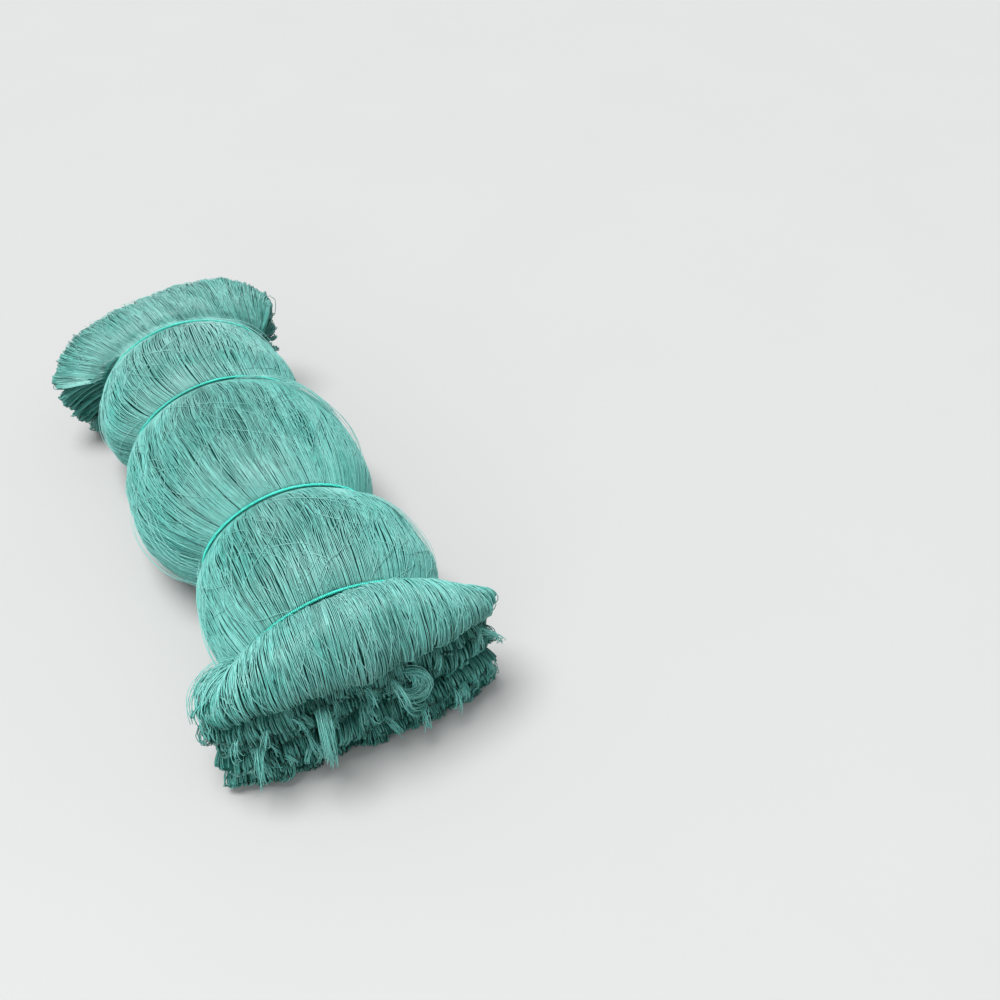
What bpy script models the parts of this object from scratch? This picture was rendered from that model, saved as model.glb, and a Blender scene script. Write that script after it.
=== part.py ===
"""A bundle of fishing net, made up for the store.

The net is drawn out lengthwise until its meshes close, folded back and forth on itself, and tied
round at four places. Between the ties it swells into lobes, and past the first and last tie the
folded ends fan out, one rounded fold above the other.

Units are metres. +X runs along the bundle to its near end, +Z is up, and the bundle lies on z = 0.
"""

import math
from collections import namedtuple

import bmesh
import bpy
import numpy as np
from mathutils import Vector

# Where the bundle's own middle line lies in the part's frame, so that its box is centred there
MIDDLE_X = 0.0005
MIDDLE_Y = 0.012

# The net's cross-section: squareness of its upper and lower half, and where it is widest
UPPER_SQUARENESS = 1.9
LOWER_SQUARENESS = 2.3
WIDEST_SHARE = 0.45
WAIST_BOTTOM = 0.020

# The swelling between two ties, from 0 at a tie to 1 in the middle
SWELL_FLATNESS = 2.4
SWELL_ROUNDNESS = 0.76
TIE_SEAT = 0.004

Tie = namedtuple("Tie", "x half_width top sideways knot_angle")
TIES = (
    Tie(x=-0.309, half_width=0.120, top=0.178, sideways=-0.012, knot_angle=-22),
    Tie(x=-0.139, half_width=0.121, top=0.180, sideways=-0.006, knot_angle=-30),
    Tie(x=0.125, half_width=0.110, top=0.180, sideways=0.008, knot_angle=-26),
    Tie(x=0.309, half_width=0.122, top=0.176, sideways=0.010, knot_angle=-34),
)

# early is how far a lobe's widening leans back to the tie before it
Lobe = namedtuple("Lobe", "half_width top under_floor sideways early")
LOBES = (
    Lobe(half_width=0.143, top=0.202, under_floor=0.010, sideways=-0.018, early=0.00),
    Lobe(half_width=0.156, top=0.210, under_floor=0.014, sideways=-0.006, early=0.16),
    Lobe(half_width=0.142, top=0.204, under_floor=0.011, sideways=0.013, early=0.08),
)

# The folds at an end, from the top one down. root_level is 1 at the top of the waist and -1 at its
# foot; reach and side_reach are measured from the tie, in the middle and at the fold's two edges;
# tilt lifts its +Y edge and lowers its -Y edge.
Fold = namedtuple(
    "Fold", "root_level tip_height reach side_reach half_width thickness hump droop tilt sideways"
)
NEAR_FOLDS = (
    Fold(0.78, 0.140, 0.098, 0.042, 0.174, 0.042, 0.040, 0.014, 0.010, 0.008),
    Fold(0.40, 0.104, 0.090, 0.048, 0.172, 0.032, 0.010, 0.004, 0.012, 0.001),
    Fold(0.02, 0.073, 0.086, 0.054, 0.166, 0.030, 0.004, 0.000, 0.004, 0.006),
    Fold(-0.38, 0.042, 0.093, 0.064, 0.170, 0.030, 0.000, -0.002, 0.000, 0.004),
    Fold(-0.80, 0.013, 0.088, 0.068, 0.164, 0.029, -0.004, -0.002, -0.001, 0.006),
)
FAR_FOLDS = (
    Fold(0.78, 0.156, 0.110, 0.026, 0.172, 0.042, 0.016, 0.022, 0.028, -0.034),
    Fold(0.40, 0.117, 0.102, 0.022, 0.168, 0.040, 0.008, 0.024, 0.021, -0.036),
    Fold(0.02, 0.084, 0.098, 0.018, 0.160, 0.037, 0.002, 0.016, 0.012, -0.032),
    Fold(-0.38, 0.050, 0.098, 0.018, 0.156, 0.035, 0.000, 0.006, 0.005, -0.028),
    Fold(-0.80, 0.016, 0.100, 0.022, 0.148, 0.034, -0.004, -0.002, 0.000, -0.020),
)

# Squareness of a fold's corners seen from above, and of its two edges seen end on
CORNER_SQUARENESS = 3.0
EDGE_SQUARENESS = 8.0

# A fold's root: how far from the tie it starts, and how much farther the lower ones do, how far
# along the fold it stays upright, its share of the fold's thickness and of the waist's width, at
# the top or foot and at mid-height, and how far it bends round the waist to each side. FAN is how
# early the fold spreads to its width, and HUMP_START how far along it has risen to its hump.
FOLD_START = 0.004
ROOT_STAGGER = 0.0031
ROOT_SHARE = 0.35
ROOT_THICKNESS = 0.75
ROOT_WIDTH_OUTER = 0.86
ROOT_WIDTH_INNER = 0.92
ROOT_SPREAD = math.radians(82)
FAN = 1.7
HUMP_START = 0.3

# The end of the net's body, hidden among the roots of the folds
STUB_LENGTH = 0.034
STUB_SHRINK = 0.80

# Unevenness of the net, as a height and how many times it comes: of its lobes, along them and
# round them, and of a fold's reach, twice, and of its height, over its width
LOBE_RIPPLE = 0.0030
LOBE_RIPPLE_ALONG = 31.0
LOBE_RIPPLE_ROUND = 3
REACH_RIPPLE = 0.0055
REACH_RIPPLE_ACROSS = 5.0
SCALLOP = 0.0030
SCALLOP_ACROSS = 14.0
HEIGHT_RIPPLE = 0.0022
HEIGHT_RIPPLE_ACROSS = 4.2

# How finely the solids are faceted
POINTS_ROUND = 40
STATIONS_PER_LOBE = 10
FOLD_STATIONS = 5
TIP_STATIONS = 3
FOLD_COLUMNS = 21

# The ties: a thin cord, knotted at the side
CORD_RADIUS = 0.0018
CORD_GAP = 0.0004
CORD_LIFT = CORD_RADIUS + CORD_GAP
KNOT_SIZE = (0.0046, 0.0048, 0.0060)
KNOT_LIFT = 0.0028
TAIL_TURN = math.radians(20)
TAIL_RISE = 0.010
TAIL_POINTS = 6

NET_COLOUR = (0.145, 0.385, 0.325, 1.0)
TIE_COLOUR = (0.010, 0.560, 0.400, 1.0)


def smooth(share):
    """From 0 to 1 with a level start and end."""
    share = min(max(share, 0.0), 1.0)
    return share * share * (3 - 2 * share)


def mix(first, second, share):
    return first + (second - first) * share


def ripple(along, around, seed):
    """Unevenness from about -1 to 1, the same on every run."""
    first = math.sin(along + 1.7 * seed) * math.cos(around + 0.9 * seed)
    second = math.sin(2.13 * along - 1.1 * around + 2.3 * seed)
    third = math.cos(1.61 * around + 0.83 * along - 1.9 * seed)
    return (first + 0.6 * second + 0.5 * third) / 2.1


def signed_power(value, power):
    return math.copysign(abs(value) ** power, value)


Section = namedtuple("Section", "half_width top bottom sideways swell")


def swelling(across):
    """From 0 at the two ties, where across is -1 and 1, to 1 midway."""
    return (1 - abs(across) ** SWELL_FLATNESS) ** SWELL_ROUNDNESS


def section_at(x):
    """The net's cross-section at x: a waist at each tie, swelling to a lobe between two ties."""
    first, last = TIES[0], TIES[-1]
    if x <= first.x + TIE_SEAT or x >= last.x - TIE_SEAT:
        tie = first if x < 0 else last
        past = max(abs(x - tie.x) - TIE_SEAT, 0.0) if abs(x) > abs(tie.x) else 0.0
        shrink = mix(1.0, STUB_SHRINK, past / STUB_LENGTH)
        middle = mix(WAIST_BOTTOM, tie.top, WIDEST_SHARE)
        return Section(
            tie.half_width * shrink,
            mix(middle, tie.top, shrink),
            mix(middle, WAIST_BOTTOM, shrink),
            tie.sideways,
            0.0,
        )
    index = max(i for i in range(len(LOBES)) if x >= TIES[i].x)
    before, lobe, after = TIES[index], LOBES[index], TIES[index + 1]
    start, end = before.x + TIE_SEAT, after.x - TIE_SEAT
    across = min(max(2 * (x - start) / (end - start) - 1, -1.0), 1.0)
    swell = swelling(across)
    widening = swelling(across + lobe.early * (1 - across * across))
    share = (across + 1) / 2
    return Section(
        mix(mix(before.half_width, after.half_width, share), lobe.half_width, widening),
        mix(mix(before.top, after.top, share), lobe.top, swell),
        mix(WAIST_BOTTOM, -lobe.under_floor, swell),
        mix(mix(before.sideways, after.sideways, share), lobe.sideways, widening),
        swell,
    )


def body_point(x, angle):
    """A point of the net's outside at x, at this angle round it from +Y towards the top."""
    section = section_at(x)
    cosine, sine = math.cos(angle), math.sin(angle)
    squareness = UPPER_SQUARENESS if sine > 0 else LOWER_SQUARENESS
    middle = mix(section.bottom, section.top, WIDEST_SHARE)
    reach = section.top - middle if sine > 0 else middle - section.bottom
    bump = ripple(LOBE_RIPPLE_ALONG * x, LOBE_RIPPLE_ROUND * angle, 2)
    bump *= LOBE_RIPPLE * section.swell
    y = section.sideways + (section.half_width + bump) * signed_power(cosine, 2 / squareness)
    z = middle + (reach + bump) * signed_power(sine, 2 / squareness)
    return Vector((x + MIDDLE_X, y + MIDDLE_Y, max(z, 0.0)))


def body_stations():
    """The places along the net where its cross-section is drawn."""
    stations = [TIES[0].x - TIE_SEAT - STUB_LENGTH, TIES[0].x - TIE_SEAT]
    for before, after in zip(TIES, TIES[1:]):
        start, end = before.x + TIE_SEAT, after.x - TIE_SEAT
        for step in range(STATIONS_PER_LOBE + 1):
            share = (1 - math.cos(math.pi * step / STATIONS_PER_LOBE)) / 2
            stations.append(mix(start, end, share))
    return stations + [TIES[-1].x + TIE_SEAT, TIES[-1].x + TIE_SEAT + STUB_LENGTH]


def fold_centre(fold, tie, outward, seed, along, across):
    """A point midway in a fold's thickness. along is 0 at the tie and 1 at the tip; across runs
    from -1 to 1 over its width."""
    middle = mix(WAIST_BOTTOM, tie.top, WIDEST_SHARE)
    height = tie.top - middle if fold.root_level > 0 else middle - WAIST_BOTTOM
    bend = across * ROOT_SPREAD
    level = abs(fold.root_level)
    root_width = tie.half_width * mix(ROOT_WIDTH_INNER, ROOT_WIDTH_OUTER, level)
    root_y = tie.sideways + root_width * math.sin(bend)
    root_z = middle + height * fold.root_level * mix(1.0, math.cos(bend), level)
    uneven = REACH_RIPPLE * ripple(0, REACH_RIPPLE_ACROSS * across, seed)
    uneven += SCALLOP * ripple(0, SCALLOP_ACROSS * across, seed)
    corner = math.sqrt(max(1 - abs(across) ** CORNER_SQUARENESS, 0.0))
    reach = mix(fold.side_reach, fold.reach + uneven, corner)
    tip_y = fold.sideways + fold.half_width * across
    tip_z = fold.tip_height - fold.droop * across * across + fold.tilt * across
    tip_z += HEIGHT_RIPPLE * ripple(0, HEIGHT_RIPPLE_ACROSS * across, seed + 5)
    start = tie.x + outward * (FOLD_START + ROOT_STAGGER * (1 - fold.root_level))
    x = mix(start, tie.x + outward * reach, along)
    y = mix(root_y, tip_y, 1 - (1 - along) ** FAN)
    hump = fold.hump * smooth(along / HUMP_START) * math.sin(math.pi * along) * (1 - across * across)
    z = mix(root_z, tip_z, smooth(along)) + hump
    return Vector((x + MIDDLE_X, y + MIDDLE_Y, z))


def fold_half_thickness(fold, along, across):
    """Thinner where the tie draws the net in, and rounded off at the tip and at both edges."""
    half = mix(ROOT_THICKNESS, 1.0, smooth(along)) * fold.thickness / 2
    rounding = fold.thickness / 2 / fold.reach
    into_tip = max(along - (1 - rounding), 0.0) / rounding
    tip = math.sqrt(max(1 - into_tip**2, 0.0))
    edge = math.sqrt(max(1 - abs(across) ** EDGE_SQUARENESS, 0.0))
    return half * tip * edge


def fold_face(fold, tie, outward, seed, along, across, side):
    """A point on a fold's upper face, with side 1, or its lower face, with side -1."""
    small = 1e-3
    where = fold_centre(fold, tie, outward, seed, along, across)
    ahead = where - fold_centre(fold, tie, outward, seed, along - small, across)
    beside = fold_centre(fold, tie, outward, seed, along, across + small) - where
    normal = ahead.cross(beside) * outward
    normal.x *= smooth(along / ROOT_SHARE)
    point = where + normal.normalized() * side * fold_half_thickness(fold, along, across)
    point.z = max(point.z, 0.0)
    return point


def fold_grid(fold, tie, outward, seed, side):
    """Rows of points on one face of a fold, from its root to its tip."""
    rounding = fold.thickness / 2 / fold.reach
    quarter = math.pi / 2
    shares = [mix(0, 1 - rounding, k / FOLD_STATIONS) for k in range(FOLD_STATIONS)]
    shares += [
        1 - rounding * (1 - math.sin(quarter * k / TIP_STATIONS)) for k in range(TIP_STATIONS + 1)
    ]
    steps = FOLD_COLUMNS - 1
    spread = [math.sin(quarter * (2 * k / steps - 1)) for k in range(FOLD_COLUMNS)]
    return [
        [fold_face(fold, tie, outward, seed, along, across, side) for across in spread]
        for along in shares
    ]


def add_object(name, mesh, colour, roughness):
    material = bpy.data.materials.new(name)
    material.use_nodes = True
    shader = material.node_tree.nodes["Principled BSDF"]
    shader.inputs["Base Color"].default_value = colour
    shader.inputs["Roughness"].default_value = roughness
    shader.inputs["Metallic"].default_value = 0.0
    mesh.materials.append(material)
    made = bpy.data.objects.new(name, mesh)
    bpy.context.scene.collection.objects.link(made)
    return made


def finish_mesh(shape, name):
    """A Blender mesh of a bmesh, with its faces pointing out."""
    bmesh.ops.recalc_face_normals(shape, faces=shape.faces)
    mesh = bpy.data.meshes.new(name)
    shape.to_mesh(mesh)
    shape.free()
    return mesh


def lofted_body():
    """The net from just before the first tie to just past the last one."""
    shape = bmesh.new()
    turns = [2 * math.pi * k / POINTS_ROUND for k in range(POINTS_ROUND)]
    rings = [
        [shape.verts.new(body_point(x, angle)) for angle in turns] for x in body_stations()
    ]
    for ring, following in zip(rings, rings[1:]):
        for k in range(POINTS_ROUND):
            after = (k + 1) % POINTS_ROUND
            shape.faces.new((ring[k], ring[after], following[after], following[k]))
    shape.faces.new(rings[0])
    shape.faces.new(reversed(rings[-1]))
    return finish_mesh(shape, "body")


def folded_end(fold, tie, outward, seed):
    """One rounded fold: an upper and a lower face that meet at its edges and its tip."""
    shape = bmesh.new()
    faces = []
    for side in (1, -1):
        grid = fold_grid(fold, tie, outward, seed, side)
        rows = [[shape.verts.new(point) for point in row] for row in grid]
        for row, following in zip(rows, rows[1:]):
            for k in range(FOLD_COLUMNS - 1):
                shape.faces.new((row[k], row[k + 1], following[k + 1], following[k]))
        faces.append(rows[0])
    upper, lower = faces
    for k in range(FOLD_COLUMNS - 1):
        shape.faces.new((upper[k], upper[k + 1], lower[k + 1], lower[k]))
    bmesh.ops.remove_doubles(shape, verts=shape.verts, dist=1e-6)
    bmesh.ops.dissolve_degenerate(shape, dist=1e-7, edges=shape.edges)
    return finish_mesh(shape, "fold")


def helper(mesh):
    """A hidden object that a Boolean takes its shape from."""
    made = bpy.data.objects.new(mesh.name, mesh)
    bpy.context.scene.collection.objects.link(made)
    made.hide_render = True
    made.display_type = "WIRE"
    return made


def join_shapes(obj, others):
    """Joins the other shapes to this object, all at once, and takes those away."""
    group = bpy.data.collections.new("shapes")
    for other in others:
        group.objects.link(other)
    modifier = obj.modifiers.new("join", "BOOLEAN")
    modifier.operation = "UNION"
    modifier.solver = "EXACT"
    modifier.operand_type = "COLLECTION"
    modifier.collection = group
    graph = bpy.context.evaluated_depsgraph_get()
    joined = bpy.data.meshes.new_from_object(obj.evaluated_get(graph))
    obj.modifiers.clear()
    obj.data = joined
    for other in others:
        bpy.data.objects.remove(other)
    bpy.data.collections.remove(group)


def make_net():
    net = add_object("net", lofted_body(), NET_COLOUR, 0.55)
    folds = []
    for tie, outward, table in ((TIES[-1], 1, NEAR_FOLDS), (TIES[0], -1, FAR_FOLDS)):
        for level, fold in enumerate(table):
            seed = level + 3 * outward
            folds.append(helper(folded_end(fold, tie, outward, seed)))
    join_shapes(net, folds)
    net.data.name = "net"
    net.data.shade_smooth()
    net.data.set_sharp_from_angle(angle=math.radians(50))


def cord_mesh(points, closed):
    """A round cord along these points."""
    curve = bpy.data.curves.new("cord", "CURVE")
    curve.dimensions = "3D"
    curve.bevel_depth = CORD_RADIUS
    curve.bevel_resolution = 1
    curve.use_fill_caps = not closed
    spline = curve.splines.new("POLY")
    spline.points.add(len(points) - 1)
    for place, point in zip(spline.points, points):
        place.co = (*point, 1.0)
    spline.use_cyclic_u = closed
    made = bpy.data.objects.new("cord", curve)
    bpy.context.scene.collection.objects.link(made)
    graph = bpy.context.evaluated_depsgraph_get()
    mesh = bpy.data.meshes.new_from_object(made.evaluated_get(graph))
    bpy.data.objects.remove(made)
    shape = bmesh.new()
    shape.from_mesh(mesh)
    bmesh.ops.remove_doubles(shape, verts=shape.verts, dist=1e-6)
    return finish_mesh(shape, "cord")


def around_waist(tie, angle, lift):
    """A point this far off the net's waist, in the plane of the tie."""
    step = math.radians(360 / POINTS_ROUND)
    here = body_point(tie.x, angle)
    along = body_point(tie.x, angle + step / 2) - body_point(tie.x, angle - step / 2)
    outward = Vector((0, along.z, -along.y)).normalized()
    return here + outward * lift


def tail_points(tie, knot_angle, turn):
    """A free end of the cord, which leaves the knot and lies along the waist, lifting a little."""
    points = []
    for k in range(TAIL_POINTS):
        share = k / (TAIL_POINTS - 1)
        angle = knot_angle + turn * share * TAIL_TURN
        rise = TAIL_RISE * math.sin(math.pi / 2 * share)
        points.append(around_waist(tie, angle, CORD_LIFT + KNOT_LIFT + rise))
    return points


def make_tie(number, tie):
    """A ring of cord in the waist, a knot at its side and two short free ends."""
    turns = [2 * math.pi * k / POINTS_ROUND for k in range(POINTS_ROUND)]
    ring = [around_waist(tie, angle, CORD_LIFT) for angle in turns]
    made = add_object(f"tie_{number}", cord_mesh(ring, True), TIE_COLOUR, 0.4)
    knot_angle = math.radians(tie.knot_angle)
    knot = bmesh.new()
    bmesh.ops.create_icosphere(knot, subdivisions=1, radius=1.0)
    bmesh.ops.scale(knot, verts=knot.verts, vec=KNOT_SIZE)
    centre = around_waist(tie, knot_angle, CORD_LIFT + KNOT_LIFT)
    bmesh.ops.translate(knot, verts=knot.verts, vec=centre)
    extras = [helper(finish_mesh(knot, "knot"))]
    for turn in (1, -1):
        extras.append(helper(cord_mesh(tail_points(tie, knot_angle, turn), False)))
    join_shapes(made, extras)
    made.data.name = made.name


def main():
    for existing in list(bpy.data.objects):
        bpy.data.objects.remove(existing)
    make_net()
    for number, tie in enumerate(TIES, 1):
        make_tie(number, tie)


main()
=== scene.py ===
"""The looks of a bundle of fishing net: thousands of strands of twine drawn together, folded back
and forth, and tied round at four places.

Units are metres. +X runs along the bundle to its near end, +Z is up, and it lies on z = 0.
"""

import math
from collections import namedtuple

import bpy
import numpy as np
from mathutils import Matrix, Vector


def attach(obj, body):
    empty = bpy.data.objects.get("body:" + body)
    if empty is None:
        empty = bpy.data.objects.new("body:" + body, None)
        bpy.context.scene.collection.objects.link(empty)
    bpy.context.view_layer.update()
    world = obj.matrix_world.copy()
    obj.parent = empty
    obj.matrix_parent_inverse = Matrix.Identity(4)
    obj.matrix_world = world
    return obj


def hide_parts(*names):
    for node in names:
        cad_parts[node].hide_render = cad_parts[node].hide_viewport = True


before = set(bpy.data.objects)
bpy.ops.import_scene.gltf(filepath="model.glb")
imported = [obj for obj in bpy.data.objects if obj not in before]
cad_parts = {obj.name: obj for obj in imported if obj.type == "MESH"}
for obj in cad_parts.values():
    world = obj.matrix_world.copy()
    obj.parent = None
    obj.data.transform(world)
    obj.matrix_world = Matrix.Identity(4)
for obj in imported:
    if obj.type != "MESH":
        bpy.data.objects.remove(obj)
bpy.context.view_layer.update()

# Where the bundle's own middle line lies in the frame
MIDDLE = np.array([0.0005, 0.012, 0.0])

# The form of the bundle, the same as in its solids
UPPER_SQUARENESS = 1.9
LOWER_SQUARENESS = 2.3
WIDEST_SHARE = 0.45
WAIST_BOTTOM = 0.020
SWELL_FLATNESS = 2.4
SWELL_ROUNDNESS = 0.76
TIE_SEAT = 0.004

Tie = namedtuple("Tie", "x half_width top sideways knot_angle")
TIES = (
    Tie(x=-0.309, half_width=0.120, top=0.178, sideways=-0.012, knot_angle=-22),
    Tie(x=-0.139, half_width=0.121, top=0.180, sideways=-0.006, knot_angle=-30),
    Tie(x=0.125, half_width=0.110, top=0.180, sideways=0.008, knot_angle=-26),
    Tie(x=0.309, half_width=0.122, top=0.176, sideways=0.010, knot_angle=-34),
)

Lobe = namedtuple("Lobe", "half_width top under_floor sideways early")
LOBES = (
    Lobe(half_width=0.143, top=0.202, under_floor=0.010, sideways=-0.018, early=0.00),
    Lobe(half_width=0.156, top=0.210, under_floor=0.014, sideways=-0.006, early=0.16),
    Lobe(half_width=0.142, top=0.204, under_floor=0.011, sideways=0.013, early=0.08),
)

# The folds at an end, from the top one down
Fold = namedtuple(
    "Fold", "root_level tip_height reach side_reach half_width thickness hump droop tilt sideways"
)
NEAR_FOLDS = (
    Fold(0.78, 0.140, 0.098, 0.042, 0.174, 0.042, 0.040, 0.014, 0.010, 0.008),
    Fold(0.40, 0.104, 0.090, 0.048, 0.172, 0.032, 0.010, 0.004, 0.012, 0.001),
    Fold(0.02, 0.073, 0.086, 0.054, 0.166, 0.030, 0.004, 0.000, 0.004, 0.006),
    Fold(-0.38, 0.042, 0.093, 0.064, 0.170, 0.030, 0.000, -0.002, 0.000, 0.004),
    Fold(-0.80, 0.013, 0.088, 0.068, 0.164, 0.029, -0.004, -0.002, -0.001, 0.006),
)
FAR_FOLDS = (
    Fold(0.78, 0.156, 0.110, 0.026, 0.172, 0.042, 0.016, 0.022, 0.028, -0.034),
    Fold(0.40, 0.117, 0.102, 0.022, 0.168, 0.040, 0.008, 0.024, 0.021, -0.036),
    Fold(0.02, 0.084, 0.098, 0.018, 0.160, 0.037, 0.002, 0.016, 0.012, -0.032),
    Fold(-0.38, 0.050, 0.098, 0.018, 0.156, 0.035, 0.000, 0.006, 0.005, -0.028),
    Fold(-0.80, 0.016, 0.100, 0.022, 0.148, 0.034, -0.004, -0.002, 0.000, -0.020),
)
CORNER_SQUARENESS = 3.0
EDGE_SQUARENESS = 8.0
FOLD_START = 0.004
ROOT_STAGGER = 0.0031
ROOT_SHARE = 0.35
ROOT_THICKNESS = 0.75
ROOT_WIDTH_OUTER = 0.86
ROOT_WIDTH_INNER = 0.92
ROOT_SPREAD = math.radians(82)
FAN = 1.7
HUMP_START = 0.3

LOBE_RIPPLE = 0.0030
LOBE_RIPPLE_ALONG = 31.0
LOBE_RIPPLE_ROUND = 3
REACH_RIPPLE = 0.0055
REACH_RIPPLE_ACROSS = 5.0
SCALLOP = 0.0030
SCALLOP_ACROSS = 14.0
HEIGHT_RIPPLE = 0.0022
HEIGHT_RIPPLE_ACROSS = 4.2

# The strands of twine
TWINE_RADIUS = 0.00062
TWINE_SPACING = 0.00118
TWINE_STEP = 0.0078
HEART_DEPTH = 0.0040

# The ties
CORD_RADIUS = 0.0024
CORD_LIFT = CORD_RADIUS + 0.0006
KNOT_LIFT = 0.0028
TAIL_TURN = math.radians(20)
TAIL_RISE = 0.010


def smooth(share):
    """From 0 to 1 with a level start and end."""
    share = np.clip(share, 0.0, 1.0)
    return share * share * (3 - 2 * share)


def mix(first, second, share):
    return first + (second - first) * share


def ripple(along, around, seed):
    """The unevenness of the solids, from about -1 to 1."""
    first = np.sin(along + 1.7 * seed) * np.cos(around + 0.9 * seed)
    second = np.sin(2.13 * along - 1.1 * around + 2.3 * seed)
    third = np.cos(1.61 * around + 0.83 * along - 1.9 * seed)
    return (first + 0.6 * second + 0.5 * third) / 2.1


def signed_power(value, power):
    return np.sign(value) * np.abs(value) ** power


def drift(a, b, seed, turns=None):
    """Soft noise from -1 to 1 over two coordinates. With turns, it meets itself after so many
    steps of the first."""
    size = 512
    table = np.random.default_rng(seed).uniform(-1, 1, (size, size))
    a, b = np.broadcast_arrays(np.asarray(a, float), np.asarray(b, float))
    left = np.floor(a).astype(int)
    low = np.floor(b).astype(int)
    across = smooth(a - left)
    up = smooth(b - low)
    wrap = turns or size
    columns = (left % wrap, (left + 1) % wrap)
    rows = (low % size, (low + 1) % size)
    lower = mix(table[columns[0], rows[0]], table[columns[1], rows[0]], across)
    upper = mix(table[columns[0], rows[1]], table[columns[1], rows[1]], across)
    return mix(lower, upper, up)


TIE_X = np.array([tie.x for tie in TIES])


def column(rows, name):
    return np.array([getattr(row, name) for row in rows])


def swelling(across):
    """From 0 at the two ties, where across is -1 and 1, to 1 midway."""
    return (1 - np.abs(across) ** SWELL_FLATNESS) ** SWELL_ROUNDNESS


def body_sections(x):
    """Half width, top, bottom, sideways and swell of the net at each x between two ties."""
    k = np.clip(np.searchsorted(TIE_X, x) - 1, 0, len(LOBES) - 1)
    start = TIE_X[k] + TIE_SEAT
    end = TIE_X[k + 1] - TIE_SEAT
    across = np.clip(2 * (x - start) / (end - start) - 1, -1, 1)
    swell = swelling(across)
    widening = swelling(across + column(LOBES, "early")[k] * (1 - across**2))
    share = (across + 1) / 2

    def between(name, amount):
        ties = column(TIES, name)
        return mix(mix(ties[k], ties[k + 1], share), column(LOBES, name)[k], amount)

    width = between("half_width", widening)
    top = between("top", swell)
    sideways = between("sideways", widening)
    bottom = mix(WAIST_BOTTOM, -column(LOBES, "under_floor")[k], swell)
    return width, top, bottom, sideways, swell


def body_points(x, angle, lift=0.0):
    """Points of the net's outside, at an angle round it from +Y towards the top."""
    x, angle = np.broadcast_arrays(np.asarray(x, float), np.asarray(angle, float))
    width, top, bottom, sideways, swell = body_sections(x)
    cosine, sine = np.cos(angle), np.sin(angle)
    squareness = np.where(sine > 0, UPPER_SQUARENESS, LOWER_SQUARENESS)
    middle = mix(bottom, top, WIDEST_SHARE)
    reach = np.where(sine > 0, top - middle, middle - bottom)
    bump = ripple(LOBE_RIPPLE_ALONG * x, LOBE_RIPPLE_ROUND * angle, 2) * LOBE_RIPPLE * swell
    y = sideways + (width + bump + lift) * signed_power(cosine, 2 / squareness)
    z = middle + (reach + bump + lift) * signed_power(sine, 2 / squareness)
    return np.stack([x, y, z], -1) + MIDDLE


def fold_parts(fold, tie, outward, seed, along, across, shift):
    """The middle of a fold's thickness at along, from 0 at the tie to 1 at the tip, and across,
    from -1 to 1 over its width. shift moves the tip outward, up and sideways."""
    middle = mix(WAIST_BOTTOM, tie.top, WIDEST_SHARE)
    height = tie.top - middle if fold.root_level > 0 else middle - WAIST_BOTTOM
    bend = across * ROOT_SPREAD
    level = abs(fold.root_level)
    root_width = tie.half_width * mix(ROOT_WIDTH_INNER, ROOT_WIDTH_OUTER, level)
    root_y = tie.sideways + root_width * np.sin(bend)
    root_z = middle + height * fold.root_level * mix(1.0, np.cos(bend), level)
    uneven = REACH_RIPPLE * ripple(0, REACH_RIPPLE_ACROSS * across, seed)
    uneven = uneven + SCALLOP * ripple(0, SCALLOP_ACROSS * across, seed)
    corner = np.sqrt(np.maximum(1 - np.abs(across) ** CORNER_SQUARENESS, 0.0))
    reach = mix(fold.side_reach, fold.reach + uneven, corner) + shift[0]
    tip_y = fold.sideways + fold.half_width * across + shift[2]
    tip_z = fold.tip_height - fold.droop * across**2 + fold.tilt * across
    tip_z = tip_z + HEIGHT_RIPPLE * ripple(0, HEIGHT_RIPPLE_ACROSS * across, seed + 5)
    start = tie.x + outward * (FOLD_START + ROOT_STAGGER * (1 - fold.root_level))
    x = mix(start, tie.x + outward * reach, along)
    y = mix(root_y, tip_y, 1 - np.maximum(1 - along, 0) ** FAN)
    hump = fold.hump * smooth(along / HUMP_START) * np.sin(math.pi * along) * (1 - across**2)
    z = mix(root_z, tip_z + shift[1], smooth(along)) + hump
    return np.stack(np.broadcast_arrays(x, y, z), -1) + MIDDLE


def tip_share(fold):
    """How much of a fold's length its round tip takes up."""
    return fold.thickness / 2 / fold.reach


def fold_points(fold, tie, outward, seed, along, across, side, swell=1.0, shift=(0.0, 0.0, 0.0)):
    """Points on a fold's upper face, where side is 1, or its lower face, where side is -1, and
    the way out of that face. swell thins or thickens the fold."""
    small = 1e-3
    args = (fold, tie, outward, seed)
    where = fold_parts(*args, along, across, shift)
    ahead = where - fold_parts(*args, along - small, across, shift)
    beside = fold_parts(*args, along, across + small, shift) - where
    normal = np.cross(ahead, beside) * outward
    normal[..., 0] *= smooth(along / ROOT_SHARE)
    normal /= np.linalg.norm(normal, axis=-1, keepdims=True)
    half = mix(ROOT_THICKNESS, 1.0, smooth(along)) * fold.thickness / 2
    rounding = tip_share(fold)
    into_tip = np.maximum(along - (1 - rounding), 0.0) / rounding
    tip = np.sqrt(np.maximum(1 - into_tip**2, 0.0))
    edge = np.sqrt(np.maximum(1 - np.abs(across) ** EDGE_SQUARENESS, 0.0))
    out = (side * half * tip * edge * swell)[..., None]
    return where + normal * out, normal * np.sign(side)[..., None]


STRAND_SIDES = 3
TINY = 1e-12


def add_object(name, data):
    made = bpy.data.objects.new(name, data)
    bpy.context.scene.collection.objects.link(made)
    return made


def as_net(made):
    """Hangs a piece of the net on the root body and hides the net's solid."""
    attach(made, "root")
    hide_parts("net")


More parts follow.
